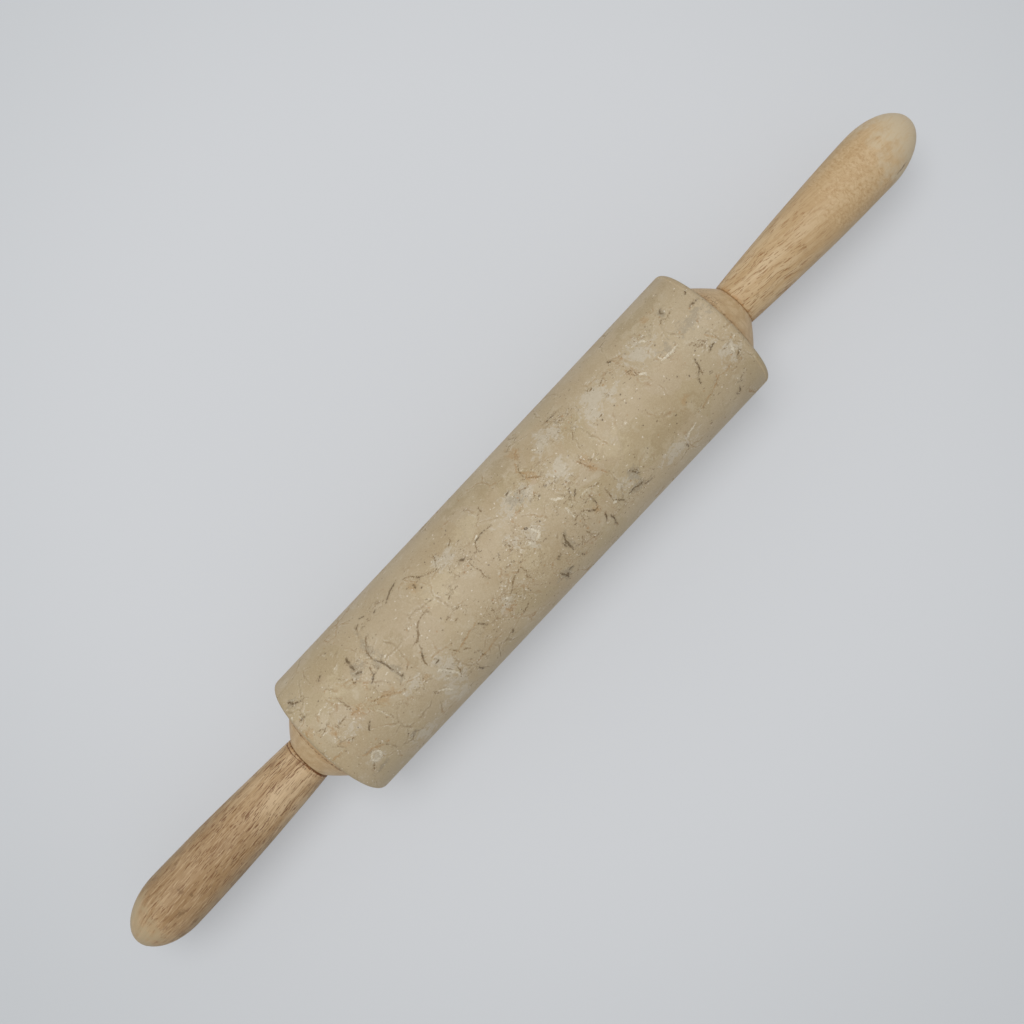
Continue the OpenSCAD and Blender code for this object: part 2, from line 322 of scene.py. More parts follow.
PALE_PATCHES = (
    (60, 26, 11, 6), (87, 27, 9, 6), (35, 33, 9, 6), (30, 9, 7, 5), (-28, 26, 6, 4),
    (-74.5, -22, 4.5, 3), (-61, -34, 5, 8), (-66, -53, 7, 7), (-107, -39, 3.5, 3.5), (-104, -8, 5, 4),
    (3, -10, 5, 4), (-4, 0, 2.5, 5), (71, -48, 10, 3.5), (44, -36, 6, 4), (-24, -33, 5, 4),
    (-88, -66, 7, 6), (112, -22, 5, 5), (7, 18, 9, 5), (16, 15, 5, 3),
    (-70, 105, 10, 7), (20, 130, 9, 7), (85, -110, 11, 7), (-15, -120, 8, 6), (-95, -140, 7, 6),
    (60, 160, 8, 5),
)
CREAM_PATCHES = (
    (-38, 16, 10, 8), (-5, -21, 8, 9), (-98, 22, 6, 5), (52, -8, 7, 6), (-15, 32, 8, 6),
    (-30, 140, 10, 8), (70, 95, 8, 8), (-60, -100, 9, 8), (30, -150, 9, 8), (100, 150, 6, 7),
)
GREY_PATCHES = (
    (9, 17, 5, 3), (-86, 17, 3, 4), (-77, 20, 2.5, 8), (10.5, -33, 2.2, 6), (0.5, -54, 3, 4), (49, -34, 3, 4),
    (47, -45, 4, 1.6), (-110, -51, 4, 1.5), (111, 13, 9, 3.5), (96, 13, 4, 3), (-75, -7, 2, 6),
    (-116, 39, 2.5, 3.5), (105, 36, 1.5, 2), (-91, -52, 2, 2),
    (-85, 130, 5, 3), (45, -95, 6, 3), (5, 155, 4, 3), (95, -150, 5, 3),
)
OLIVE_PATCHES = (
    (9, 44, 10, 9), (72, -29, 16, 6), (-10, 56, 10, 4), (100, 52, 14, 5), (-68, 2, 5, 8),
    (-100, 90, 8, 7), (0, 95, 12, 6), (110, 110, 6, 8), (0, -150, 12, 7), (-40, -155, 8, 5),
)
RUST_PATCHES = (
    (-118, 9, 2, 4), (-111, -1, 1.8, 6), (-45, 30.5, 2.2, 3.4), (-88, 3, 1.6, 1.8), (-98, -5, 5, 2.2),
    (-102.5, -34, 2.6, 2.6), (-24, -36, 4, 2), (-69, -24, 2.4, 1.4), (20, 20, 3, 5), (22, 46, 2.5, 6),
    (40, -7, 1.8, 6), (84, -24, 2.6, 2.4), (29, -32, 1.6, 2), (79, 19, 1.8, 3), (99, 43, 2.6, 2),
    (-84, -13, 4, 2.4),
    (-50, 120, 3, 4), (35, 100, 5, 3), (75, -130, 3, 5), (-20, -105, 5, 3), (-105, -110, 3, 5),
    (10, -160, 4, 3), (95, 125, 3, 4),
)

# Where small flecks crowd together away from a stroke

BUSY_PATCHES = (
    (-20, -30, 26, 10), (-2, -8, 14, 9), (24, -14, 12, 14), (-92, -6, 12, 5), (-76, -24, 12, 6),
    (-24, 16, 9, 8), (42, 34, 14, 6), (18, 18, 14, 7), (44, -46, 20, 5), (10, -44, 14, 8),
    (-104, -34, 5, 3), (114, -26, 3, 8), (74, 34, 10, 4), (-66, 42, 8, 4), (-56, -46, 9, 5),
    (92, 36, 8, 5), (-82, 14, 9, 9),
    (-60, 115, 20, 10), (10, 140, 22, 9), (75, 110, 14, 9), (-20, -110, 22, 9), (60, -125, 20, 9),
    (-90, -120, 14, 8), (-100, 150, 10, 8), (35, -155, 14, 6), (-30, 80, 12, 5), (90, 82, 10, 5),
    (20, -82, 12, 6),
)


def srgb(red, green, blue):
    """A colour given as 0 to 255 on screen, in the linear values that a shader takes."""
    def linear(value):
        share = value / 255
        return share / 12.92 if share <= 0.04045 else ((share + 0.055) / 1.055) ** 2.4
    return (linear(red), linear(green), linear(blue), 1.0)


class Graph:
    """The nodes of a material or a world. Any input takes a socket or a plain value.

    The functions that make materials call their graph g, and the shaded point p."""

    def __init__(self, owner):
        self.owner = owner
        owner.use_nodes = True
        self.tree = owner.node_tree
        self.tree.nodes.clear()

    def node(self, kind, inputs=None, **settings):
        made = self.tree.nodes.new(kind)
        for key, value in settings.items():
            setattr(made, key, value)
        for socket, value in (inputs or {}).items():
            self.feed(made.inputs[socket], value)
        return made

    def feed(self, socket, value):
        if isinstance(value, bpy.types.NodeSocket):
            self.tree.links.new(value, socket)
        else:
            socket.default_value = value

    def place(self):
        """Where the shaded point is in the part's own frame, in millimetres."""
        coordinates = self.node("ShaderNodeTexCoord").outputs["Object"]
        return self.scale(coordinates, 1 / MM)

    def unrolled(self, point, radius):
        """The point on a surface turned about X, laid flat: x, distance round from the top, depth."""
        parts = self.node("ShaderNodeSeparateXYZ", {0: point}).outputs
        angle = self.math("ARCTAN2", parts[1], parts[2])
        across = self.node("ShaderNodeCombineXYZ", {1: parts[1], 2: parts[2]}).outputs[0]
        depth = self.math("SUBTRACT", radius, self.vector("LENGTH", across))
        return self.node("ShaderNodeCombineXYZ",
                         {0: parts[0], 1: self.math("MULTIPLY", angle, radius), 2: depth}).outputs[0]

    def vector(self, operation, a, b=None):
        inputs = {i: value for i, value in enumerate((a, b)) if value is not None}
        made = self.node("ShaderNodeVectorMath", inputs, operation=operation)
        return made.outputs["Value" if operation in ("LENGTH", "DISTANCE") else "Vector"]

    def scale(self, vector, factor):
        return self.node("ShaderNodeVectorMath", {0: vector, "Scale": factor}, operation="SCALE").outputs[0]

    def stretch(self, vector, factors, turn=(0, 0, 0), shift=(0, 0, 0)):
        inputs = {"Vector": vector, "Location": shift, "Rotation": turn, "Scale": factors}
        return self.node("ShaderNodeMapping", inputs, vector_type="POINT").outputs[0]

    def math(self, operation, a, b=0.0):
        return self.node("ShaderNodeMath", {0: a, 1: b}, operation=operation).outputs[0]

    def noise(self, vector, size, detail=2.0, roughness=0.5):
        inputs = {"Vector": vector, "Scale": 1 / size, "Detail": detail, "Roughness": roughness}
        return self.node("ShaderNodeTexNoise", inputs).outputs["Fac"]

    def frayed(self, value, amount, *cloud):
        """The value moved up and down by up to amount, as noise() of the cloud's arguments says."""
        return self.math("ADD", value, self.step(self.noise(*cloud), 0.3, 0.7, -amount, amount))

    def warp(self, vector, size, amount, detail=2.0):
        """The vector moved about by up to half of amount, in waves of the given size."""
        inputs = {"Vector": vector, "Scale": 1 / size, "Detail": detail}
        cloud = self.node("ShaderNodeTexNoise", inputs).outputs["Color"]
        centred = self.vector("SUBTRACT", cloud, (0.5, 0.5, 0.5))
        return self.vector("ADD", vector, self.scale(centred, amount))

    def cells(self, vector, size, feature="F1"):
        return self.node("ShaderNodeTexVoronoi", {"Vector": vector, "Scale": 1 / size}, feature=feature)

    def channel(self, colour, index):
        return self.node("ShaderNodeSeparateColor", {0: colour}).outputs[index]

    def step(self, value, low, high, to_low=0.0, to_high=1.0):
        """A smooth ramp from to_low at low to to_high at high."""
        inputs = {"Value": value, "From Min": low, "From Max": high, "To Min": to_low, "To Max": to_high}
        return self.node("ShaderNodeMapRange", inputs, interpolation_type="SMOOTHSTEP").outputs[0]

    def both(self, a, b):
        return self.math("MULTIPLY", a, b)

    def either(self, a, b):
        return self.math("MAXIMUM", a, b)

    def mix(self, factor, a, b):
        """Colour a where the factor is 0, and colour b where it is 1."""
        return self.node("ShaderNodeMix", {0: factor, 6: a, 7: b}, data_type="RGBA").outputs[2]

    def bump(self, height, depth, strength=1.0, under=None):
        """depth is how far a height of 1 stands out, in metres."""
        inputs = {"Height": height, "Distance": depth, "Strength": strength}
        if under is not None:
            inputs["Normal"] = under
        return self.node("ShaderNodeBump", inputs).outputs[0]

    def to_patches(self, flat, patches):
        """0 at the middle of the nearest patch and 1 at its edge, all in the units of flat."""
        nearest = None
        for x, across, half_length, half_width in patches:
            offset = self.vector("SUBTRACT", flat, (x, across, 0))
            shrunk = self.vector("MULTIPLY", offset, (1 / half_length, 1 / half_width, 1 / half_width))
            share = self.vector("LENGTH", shrunk)
            nearest = share if nearest is None else self.math("MINIMUM", nearest, share)
        return nearest

    def attribute(self, name):
        vector = self.node("ShaderNodeAttribute", attribute_name=name).outputs["Vector"]
        return self.node("ShaderNodeSeparateXYZ", {0: vector}).outputs

    def seen(self):
        """1 for what the camera, a reflection or glass shows, and 0 for light that falls on things."""
        rays = self.node("ShaderNodeLightPath").outputs
        bounced = self.either(rays["Is Glossy Ray"], rays["Is Transmission Ray"])
        return self.either(rays["Is Camera Ray"], bounced)

    def finish(self, **inputs):
        shader = self.node("ShaderNodeBsdfPrincipled")
        for name, value in inputs.items():
            self.feed(shader.inputs[name.replace("_", " ")], value)
        self.node("ShaderNodeOutputMaterial", {"Surface": shader.outputs[0]})
        return self.owner


def new_material(name):
    return Graph(bpy.data.materials.new(name))


def marble():
    """Polished beige limestone with broken brown cracks, and flecks that crowd along them.

    paint_stone() says what the attributes of the mesh hold."""
    g = new_material("marble")
    p = g.place()
    lines, patches, stains, rest = (g.attribute(name) for name in ("lines", "patches", "stains", "rest"))
    bent = g.warp(p, 26, 16, 3)
    crinkled = g.warp(bent, 3.0, 2.6, 4)
    near = g.math("MINIMUM", g.math("MINIMUM", lines[0], lines[1]), g.math("MINIMUM", lines[2], rest[0]))
    crowd = g.either(g.step(near, 2.4, 0.2, 0, 0.75), g.step(rest[1], 1.3, 0.35))
    crowd = g.both(crowd, g.step(g.noise(p, 3.4, 3, 0.65), 0.36, 0.58, 0.1, 1.0))

    ground = g.mix(g.step(g.noise(bent, 30, 4, 0.62), 0.38, 0.64), srgb(175, 155, 122), srgb(183, 165, 134))
    kinds = g.node("ShaderNodeSeparateColor", {0: g.cells(crinkled, 15).outputs["Color"]}).outputs
    ground = g.mix(g.step(kinds[0], 0.5, 1.0, 0, 0.4), ground, srgb(169, 151, 113))
    ground = g.mix(g.step(kinds[1], 0.5, 1.0, 0, 0.4), ground, srgb(182, 165, 138))
    cloud = g.step(g.noise(crinkled, 9, 5, 0.66), 0.54, 0.76, 0, 0.55)
    ground = g.mix(cloud, ground, srgb(194, 181, 156))

    ragged = g.step(g.noise(crinkled, 4.5, 6, 0.75), 0.3, 0.7, -1.0, 1.0)
    for share, shade, strength in ((stains[0], srgb(160, 140, 103), 0.5),
                                   (patches[1], srgb(196, 180, 147), 0.5),
                                   (patches[0], srgb(197, 188, 170), 0.58),
                                   (patches[2], srgb(145, 133, 112), 0.55),
                                   (stains[1], srgb(171, 136, 88), 0.45)):
        drawn = g.step(g.math("ADD", share, ragged), 1.15, 0.35, 0, strength)
        ground = g.mix(drawn, ground, shade)

    mottle = g.both(g.step(g.noise(p, 1.3, 5, 0.75), 0.56, 0.36), g.step(crowd, 0, 1, 0.14, 0.3))
    colour = g.mix(mottle, ground, srgb(150, 131, 98))
    grit = g.noise(p, 0.58, 4, 0.75)
    lively = g.step(crowd, 0, 1, 0.26, 0.8)
    colour = g.mix(g.both(g.step(grit, 0.52, 0.66), lively), colour, srgb(204, 194, 171))
    colour = g.mix(g.both(g.step(grit, 0.46, 0.34), lively), colour, srgb(140, 119, 86))

    broken = g.step(g.noise(p, 1.2, 3, 0.7), 0.4, 0.56)
    edge = g.cells(crinkled, 13, "DISTANCE_TO_EDGE").outputs["Distance"]
    patchy = g.step(g.noise(bent, 12, 3, 0.6), 0.46, 0.6)
    vein = g.both(g.both(g.step(edge, 0.035, 0.01), patchy), broken)
    hair_cells = g.cells(g.warp(p, 2.4, 2.4, 4), 5.5, "DISTANCE_TO_EDGE").outputs["Distance"]
    hair = g.both(g.both(g.step(hair_cells, 0.05, 0.015), broken), g.step(crowd, 0.1, 0.8, 0.0, 1.0))
    veins = g.both(g.either(vein, hair), g.step(rest[2], 0.8, 1.1, 0.65, 1.0))
    rust = g.step(g.noise(p, 17, 2), 0.42, 0.58)
    colour = g.mix(g.both(veins, 0.62), colour, g.mix(rust, srgb(112, 90, 58), srgb(150, 111, 64)))
    beside = g.both(g.step(g.math("ABSOLUTE", g.math("SUBTRACT", edge, 0.06)), 0.035, 0.01), patchy)
    beside = g.both(beside, g.step(g.noise(p, 0.9, 3, 0.7), 0.5, 0.6))
    colour = g.mix(g.both(beside, 0.42), colour, srgb(212, 204, 186))

    def flecks(size, reach, index, few, many, squeeze=(1, 1, 1), turn=(0, 0, 0)):
        """Spots or dashes: few is the share of the cells with one, many the share in a crowd."""
        cell = g.cells(g.stretch(g.warp(p, size, size * 0.8), squeeze, turn), size)
        share = g.step(crowd, 0, 1, few, many)
        chosen = g.step(g.math("ADD", g.channel(cell.outputs["Color"], index), share), 0.98, 1.02)
        return g.both(g.step(cell.outputs["Distance"], reach, reach * 0.7), chosen)

    for shade, strength, layout in (
            (srgb(164, 124, 74), 0.55, (2.6, 0.21, 0, 0.05, 0.4)),
            (srgb(116, 94, 60), 0.65, (1.25, 0.29, 1, 0.06, 0.36)),
            (srgb(104, 82, 48), 0.72, (2.6, 0.15, 2, 0.1, 0.38, (0.5, 1.7, 1.7), (0.0, 0.2, 0.9))),
            (srgb(110, 88, 54), 0.66, (3.6, 0.125, 0, 0.1, 0.34, (0.45, 1.7, 1.7), (0.4, 0.1, -0.6))),
            (srgb(222, 214, 196), 0.66, (1.7, 0.22, 2, 0.07, 0.4)),
            (srgb(216, 207, 186), 0.66, (2.8, 0.16, 1, 0.1, 0.44, (0.5, 1.8, 1.8), (0.3, 0.3, 0.2)))):
        colour = g.mix(g.both(flecks(*layout), strength), colour, shade)

    smudge = g.both(g.step(lines[0], 1.3, -0.2), g.step(grit, 0.4, 0.6, 0.06, 0.26))
    colour = g.mix(smudge, colour, srgb(138, 120, 88))
    wander = g.step(g.noise(p, 0.8, 3, 0.7), 0.3, 0.7, -0.24, 0.24)
    gaps = g.both(g.step(g.noise(p, 1.9, 2), 0.34, 0.5, 0.4, 1.0), g.step(grit, 0.4, 0.54, 0.55, 1.0))
    for distance, low, high, strength in (
            (rest[0], srgb(208, 198, 174), srgb(222, 213, 192), 0.75),
            (lines[2], srgb(172, 134, 82), srgb(150, 116, 68), 0.68),
            (lines[1], srgb(112, 90, 54), srgb(130, 105, 66), 1.0),
            (lines[0], srgb(86, 66, 36), srgb(104, 83, 50), 1.0)):
        drawn = g.both(g.step(g.math("ADD", distance, wander), 0.2, -0.06, 0, strength), gaps)
        colour = g.mix(drawn, colour, g.mix(g.step(grit, 0.4, 0.6), low, high))
    speck = g.step(g.math("ADD", stains[2], wander), 0.52, 0.24, 0, 0.8)
    colour = g.mix(speck, colour, srgb(92, 72, 46))

    normal = g.bump(g.math("SUBTRACT", 1.0, veins), 0.02 * MM)
    normal = g.bump(g.noise(p, 9, 2), 0.05 * MM, 0.25, normal)
    gloss = g.step(g.noise(p, 14, 4), 0.3, 0.7, 0.48, 0.58)
    along = g.math("ABSOLUTE", g.node("ShaderNodeSeparateXYZ", {0: p}).outputs[0])
    rim_at = (ROLLER_END - RIM_ROUND) / MM
    honed = g.step(along, rim_at - 0.5, rim_at + 1.0, 0, 0.25)
    gloss = g.math("ADD", gloss, g.math("ADD", g.both(veins, 0.2), honed))
    return g.finish(Base_Color=colour, Roughness=gloss, Normal=normal)


# Handle wood. Places along it are in mm outward from the handle's inner face: lines_end is where the
# pores thin out to the share in sparse, and tip_at where the pale end grain starts, which slants by
# tip_lean. Wavy is how far the grain swings, in mm. A blotch is its place, degrees from the top
# towards +Y, and half its length and width in mm. The grain is laid flat at GRAIN_R, in mm too.

# edge is the colour of the painted shade on both flanks of the handle
GRAIN_R = 14.0
LEFT_LOOK = {
    "pale": srgb(202, 175, 138), "mid": srgb(180, 149, 109), "dark": srgb(141, 107, 65),
    "pore": srgb(108, 62, 18), "tip": srgb(174, 155, 121), "stain": srgb(122, 92, 56),
    "edge": srgb(152, 131, 97), "joint": srgb(112, 76, 42), "joint_shade": 0.85,
    "slant": 0.06, "wavy": 4.0, "tanned": 0.58, "density": 0.8, "sparse": 0.7, "curly": 0.0,
    "lines_end": (70, 40), "tip_at": 96, "tip_lean": 0.35, "seed": 3.1,
    "blotches": ((1.6, -8, 1.0, 1.8), (75, 3, 1.2, 2.2), (70, 46, 3.2, 0.9), (73, -17, 1.0, 1.0),
                 (82, -25, 3, 1.6), (83, -60, 3, 1.5), (91, -66, 3, 2)),
}
RIGHT_LOOK = {
    "pale": srgb(201, 175, 136), "mid": srgb(190, 160, 118), "dark": srgb(177, 144, 99),
    "pore": srgb(146, 98, 46), "tip": srgb(198, 181, 151), "stain": srgb(104, 80, 54),
    "edge": srgb(176, 152, 117), "joint": srgb(168, 130, 84), "joint_shade": 0.6,
    "slant": -0.16, "wavy": 8.0, "tanned": 0.2, "density": 0.8, "sparse": 0.35, "curly": 1.0,
    "lines_end": (48, 24), "tip_at": 87, "tip_lean": -0.3, "seed": 8.4,
    "blotches": ((13.5, -33, 0.9, 0.6), (9, 14, 3, 0.5), (15, -11, 0.7, 0.5), (89, -60, 5, 0.8)),
}


def handle_wood(side):
    """Oiled light wood, its grain nearly along X, with short open pores and a smooth end-grain tip."""
    look = LEFT_LOOK if side == "left" else RIGHT_LOOK
    sign = -1 if side == "left" else 1
    g = new_material(side + "_handle_wood")
    p = g.place()
    parts = g.node("ShaderNodeSeparateXYZ", {0: p}).outputs
    out = g.math("SUBTRACT", g.math("MULTIPLY", parts[0], sign), HANDLE_FACE / MM)
    seed = look["seed"]
    leaning = g.math("ADD", out, g.math("MULTIPLY", parts[1], look["tip_lean"]))
    bitten = g.frayed(leaning, 9, p, 7, 4, 0.65)
    tip = g.step(bitten, look["tip_at"] - 8, look["tip_at"] + 10)
    curl = g.both(g.step(bitten, 44, 62), g.step(out, 92, 78, 0, look["curly"]))

    flat = g.vector("MULTIPLY", g.unrolled(p, GRAIN_R), (1, 1, 0.2))
    swung = g.warp(g.stretch(flat, (1, 1, 1), (0, 0, 0), (seed * 17, seed * 5, 0)), 26, look["wavy"], 2)
    grain = g.stretch(swung, (1, 1, 0), (0, 0, -look["slant"]))

    def streaks(length, width, low, high, shift=0.0, to_high=1.0, rough=0.5):
        """Marks along the grain, of about the given length and width in mm."""
        squeezed = g.stretch(grain, (width / length, 1, 1), (0, 0, 0), (shift, shift, shift))
        return g.step(g.noise(squeezed, width, 2, rough), low, high, 0.0, to_high)

    colour = g.mix(streaks(60, 5.0, 0.36, 0.62), look["mid"], look["pale"])
    colour = g.mix(streaks(30, 1.6, 0.5, 0.7, 11, 0.5), colour, look["dark"])
    stain = g.noise(p, 20, 3, 0.6)
    colour = g.mix(g.step(stain, 0.5, 0.72, 0, 0.35), colour, look["dark"])
    tanned = g.both(g.step(out, 16, 48), g.step(out, 100, 86, 0, look["tanned"]))
    colour = g.mix(tanned, colour, look["dark"])
    smooth = g.both(g.step(tip, 0.0, 0.8, 1.0, 0.04), g.step(curl, 0, 1, 1.0, 0.35))
    colour = g.mix(g.both(streaks(13, 0.7, 0.54, 0.64, 23, 0.45, 0.6), smooth), colour, look["dark"])
    colour = g.mix(g.both(streaks(8, 0.6, 0.54, 0.64, 37, 0.45, 0.6), smooth), colour, look["pale"])
    colour = g.mix(g.both(curl, 0.5), colour, look["mid"])
    ripple = g.noise(g.stretch(g.warp(p, 3, 3), (1, 0.6, 0.6), (0, 0, 0.6)), 1.0, 3, 0.7)
    colour = g.mix(g.both(curl, g.step(ripple, 0.52, 0.62, 0, 0.85)), colour, look["dark"])
    colour = g.mix(g.both(curl, g.step(ripple, 0.48, 0.38, 0, 0.75)), colour, look["pale"])
    # Painted shade: both flanks, 9 to 14 mm to either side of the axis, darken to the edge colour in noisy
    # patches
    painted_flank_shade = g.step(g.math("ABSOLUTE", parts[1]), 9, 14)
    painted_flank_shade = g.both(painted_flank_shade, g.step(g.noise(p, 6, 3, 0.6), 0.35, 0.6, 0.12, 0.6))
    colour = g.mix(painted_flank_shade, colour, look["edge"])
    colour = g.mix(g.both(tip, 0.88), colour, look["tip"])
    year_rings = g.noise(g.stretch(g.warp(p, 14, 5), (0.12, 1, 0.16)), 1.1, 2, 0.6)
    dots = g.step(g.noise(p, 0.7, 2), 0.6, 0.72, 0, 0.4)
    end_grain = g.either(g.step(year_rings, 0.52, 0.66, 0, 0.3), dots)
    colour = g.mix(g.both(tip, end_grain), colour, look["mid"])

    pores = g.either(streaks(6.0, 0.62, 0.61, 0.65, 51), streaks(4.2, 0.52, 0.61, 0.65, 73))
    gathered = g.step(g.noise(g.stretch(grain, (0.3, 1, 1)), 5, 2), 0.34, 0.52, 0.45, 1.0)
    lines_end = look["lines_end"]
    gathered = g.both(gathered, g.step(bitten, lines_end[0], lines_end[1], look["sparse"], 1.0))
    marks = g.both(g.both(pores, gathered), smooth)
    colour = g.mix(g.both(marks, look["density"]), colour, look["pore"])

    places = [(sign * (HANDLE_FACE / MM + x), math.radians(angle) * GRAIN_R, along, across)
              for x, angle, along, across in look["blotches"]]
    blotch = g.frayed(g.to_patches(flat, places), 0.4, p, 1.4, 4, 0.7)
    colour = g.mix(g.step(blotch, 1.1, 0.1, 0, 0.7), colour, look["stain"])

    ragged = g.frayed(out, 0.25, p, 1.1, 3, 0.7)
    line = g.step(ragged, 0.42, 0.12, 0, look["joint_shade"])
    colour = g.mix(line, colour, look["joint"])
    glue = g.both(g.step(ragged, 2.8, 0.3), g.step(g.noise(p, 2.6, 3, 0.6), 0.45, 0.62, 0, 0.4))
    colour = g.mix(glue, colour, srgb(172, 122, 66))
    if side == "left":
        crack_at = g.step(parts[1], -4, 8, 0.5, 1.6)
        groove = g.step(g.math("ABSOLUTE", g.math("SUBTRACT", ragged, crack_at)), 0.34, 0.12)
        groove = g.both(groove, g.step(g.noise(p, 1.6, 3, 0.7), 0.36, 0.52, 0.5, 1.0))
        colour = g.mix(groove, colour, srgb(112, 70, 32))

    normal = g.bump(g.math("SUBTRACT", 1.0, marks), 0.07 * MM)
    normal = g.bump(streaks(10, 0.9, 0.35, 0.65, 37), 0.03 * MM, 0.6, normal)
    rough = g.step(g.noise(p, 12, 3), 0.3, 0.7, 0.5, 0.62)
    return g.finish(Base_Color=colour, Roughness=rough, Normal=normal)


def collar_wood(side):
    """The same wood turned to a cone, with a broken ring of glue and a darkened joint."""
    g = new_material(side + "_collar_wood")
    p = g.place()
    parts = g.node("ShaderNodeSeparateXYZ", {0: p}).outputs
    out = g.math("ABSOLUTE", parts[0])
    ring_at = ROLLER_END / MM + GLUE_RING[side]
    grain = g.warp(g.stretch(p, (1, 1, 1), (0.1, 0.25, 0.35), (20, 40, 10)), 30, 6, 1)
    band = g.noise(g.stretch(grain, (0.1, 1, 1)), 3.0, 3, 0.6)
    colour = g.mix(g.step(band, 0.36, 0.62), srgb(188, 160, 120), srgb(200, 175, 137))
    fibre = g.noise(g.stretch(grain, (0.1, 1, 1)), 0.4, 3, 0.7)
    colour = g.mix(g.step(fibre, 0.45, 0.7, 0.0, 0.4), colour, srgb(166, 136, 95))
    rings = g.noise(g.stretch(p, (1, 0.02, 0.02)), 0.5, 2, 0.6)
    colour = g.mix(g.step(rings, 0.5, 0.7, 0, 0.3), colour, srgb(158, 127, 88))

    ragged = g.frayed(out, 0.35, p, 1.0, 3, 0.7)
    clearest = 0.95 if side == "left" else 0.7
    broken = g.step(g.noise(p, 1.5, 3, 0.7), 0.42, 0.58, 0.2, clearest)
    uneven = g.frayed(out, 1.5, p, 4, 2)
    stained = g.step(uneven, ring_at + 1.5, ring_at, 0, 0.4)
    colour = g.mix(stained, colour, srgb(176, 136, 88))
    glue = g.step(g.math("ABSOLUTE", g.math("SUBTRACT", ragged, ring_at)), 0.4, 0.12)
    colour = g.mix(g.both(glue, broken), colour, srgb(116, 86, 50))
    if side == "right":
        torn = g.both(g.step(uneven, ring_at + 5, ring_at + 1), g.step(parts[1], 0, 8, 0.15, 1.0))
        nicks = g.step(g.noise(g.stretch(p, (0.3, 1, 1)), 0.6, 2), 0.54, 0.62, 0, 0.75)
        colour = g.mix(g.both(torn, nicks), colour, srgb(122, 88, 50))
    joint = g.step(ragged, COLLAR_HIGH.x / MM - 0.2, COLLAR_HIGH.x / MM, 0, 0.5)
    colour = g.mix(joint, colour, srgb(138, 98, 60))
    normal = g.bump(rings, 0.03 * MM, 0.6)
    normal = g.bump(fibre, 0.02 * MM, 0.6, normal)
    return g.finish(Base_Color=colour, Roughness=g.step(band, 0.3, 0.7, 0.5, 0.6), Normal=normal)


def metal(name, base, scratch_size, roughness):
    """Bright metal with fine turning marks round its axis, which lies along X."""
    g = new_material(name)
    p = g.place()
    rings = g.noise(g.stretch(p, (1, 0.04, 0.04)), scratch_size, 3, 0.7)
    stain = g.noise(p, 4, 3)
    colour = g.mix(g.step(stain, 0.4, 0.75, 0, 0.3), base, (base[0] * 0.6, base[1] * 0.6, base[2] * 0.6, 1))
    rough = g.step(rings, 0.3, 0.7, roughness, roughness + 0.15)
    return g.finish(Base_Color=colour, Metallic=1.0, Roughness=rough, Normal=g.bump(rings, 0.02 * MM))


def nylon():
    g = new_material("nylon")
    p = g.place()
    cloudy = g.noise(p, 3, 3)
    colour = g.mix(g.step(cloudy, 0.35, 0.7), srgb(236, 233, 222), srgb(222, 218, 203))
    rough = g.step(cloudy, 0.3, 0.7, 0.38, 0.5)
    return g.finish(Base_Color=colour, Roughness=rough, Normal=g.bump(g.noise(p, 0.4, 2), 0.01 * MM))


def curve(points, steps, shape):
    """steps points of shape(0..1) after its first one, added to points."""
    points.extend(shape(i / steps) for i in range(1, steps + 1))


def quarter(centre_x, centre_r, radius, start, end, steps):
    """Points of an arc, from one angle to another in degrees, as (x, r) pairs."""
    for i in range(steps + 1):
        angle = math.radians(start + (end - start) * i / steps)
        yield centre_x + radius * math.cos(angle), centre_r + radius * math.sin(angle)


def spread(start, end, steps):
    """Points along a straight line after its start, so that a lathe's faces stay short."""
    for i in range(1, steps + 1):
        share = i / steps
        yield start[0] + (end[0] - start[0]) * share, start[1] + (end[1] - start[1]) * share


# Into how many faces the turned meshes' stretches are cut

TURN_STEPS = 256
RIM_STEPS = 14
STONE_FACE_STEPS = 6
BORE_STEPS = 20
COLLAR_FACE_STEPS = 4
CONE_STEPS = 24
SWELL_STEPS = 70
NOSE_STEPS = 40

EVEN_TURN = [2 * math.pi * i / TURN_STEPS for i in range(TURN_STEPS)]


def lathe(name, outline, material, shape=None, angles=EVEN_TURN):
    """Turns a closed outline of (x, r) points about X. A point on the axis becomes one shared tip.

    shape(x, r, angle) may give back a slightly different radius, for dents and wear."""
    count = len(angles)
    mesh = bmesh.new()
    rings = []
    for x, r in outline:
        if r == 0:
            rings.append([mesh.verts.new((x, 0, 0))])
            continue
        ring = []
        for angle in angles:
            radius = shape(x, r, angle) if shape else r
            ring.append(mesh.verts.new((x, radius * math.sin(angle), radius * math.cos(angle))))
        rings.append(ring)
    open_ended = len(rings[0]) == 1
    pairs = zip(rings, rings[1:] if open_ended else rings[1:] + rings[:1])
    for a, b in pairs:
        for i in range(count):
            j = (i + 1) % count
            corners = [a[i % len(a)], a[j % len(a)], b[j % len(b)], b[i % len(b)]]
            mesh.faces.new(list(dict.fromkeys(corners)))
    bmesh.ops.recalc_face_normals(mesh, faces=mesh.faces)
    data = bpy.data.meshes.new(name)
    mesh.to_mesh(data)
    mesh.free()
    data.shade_smooth()
    data.materials.append(material)
    made = bpy.data.objects.new(name, data)
    bpy.context.scene.collection.objects.link(made)
    return made


# The roller's top has a fine mesh, which carries the distances to the marks in the stone. The angles
# run over it and then round the rest.

ROLLER_STEPS = 440
FINE_TURN = math.radians(60)
FINE_TURN_STEPS = 120
COARSE_TURN = 2 * (math.pi - FINE_TURN)
COARSE_TURN_STEPS = 48
ROLLER_TURN = [FINE_TURN * (2 * i / FINE_TURN_STEPS - 1) for i in range(FINE_TURN_STEPS)]
ROLLER_TURN.extend(FINE_TURN + COARSE_TURN * i / COARSE_TURN_STEPS for i in range(COARSE_TURN_STEPS))


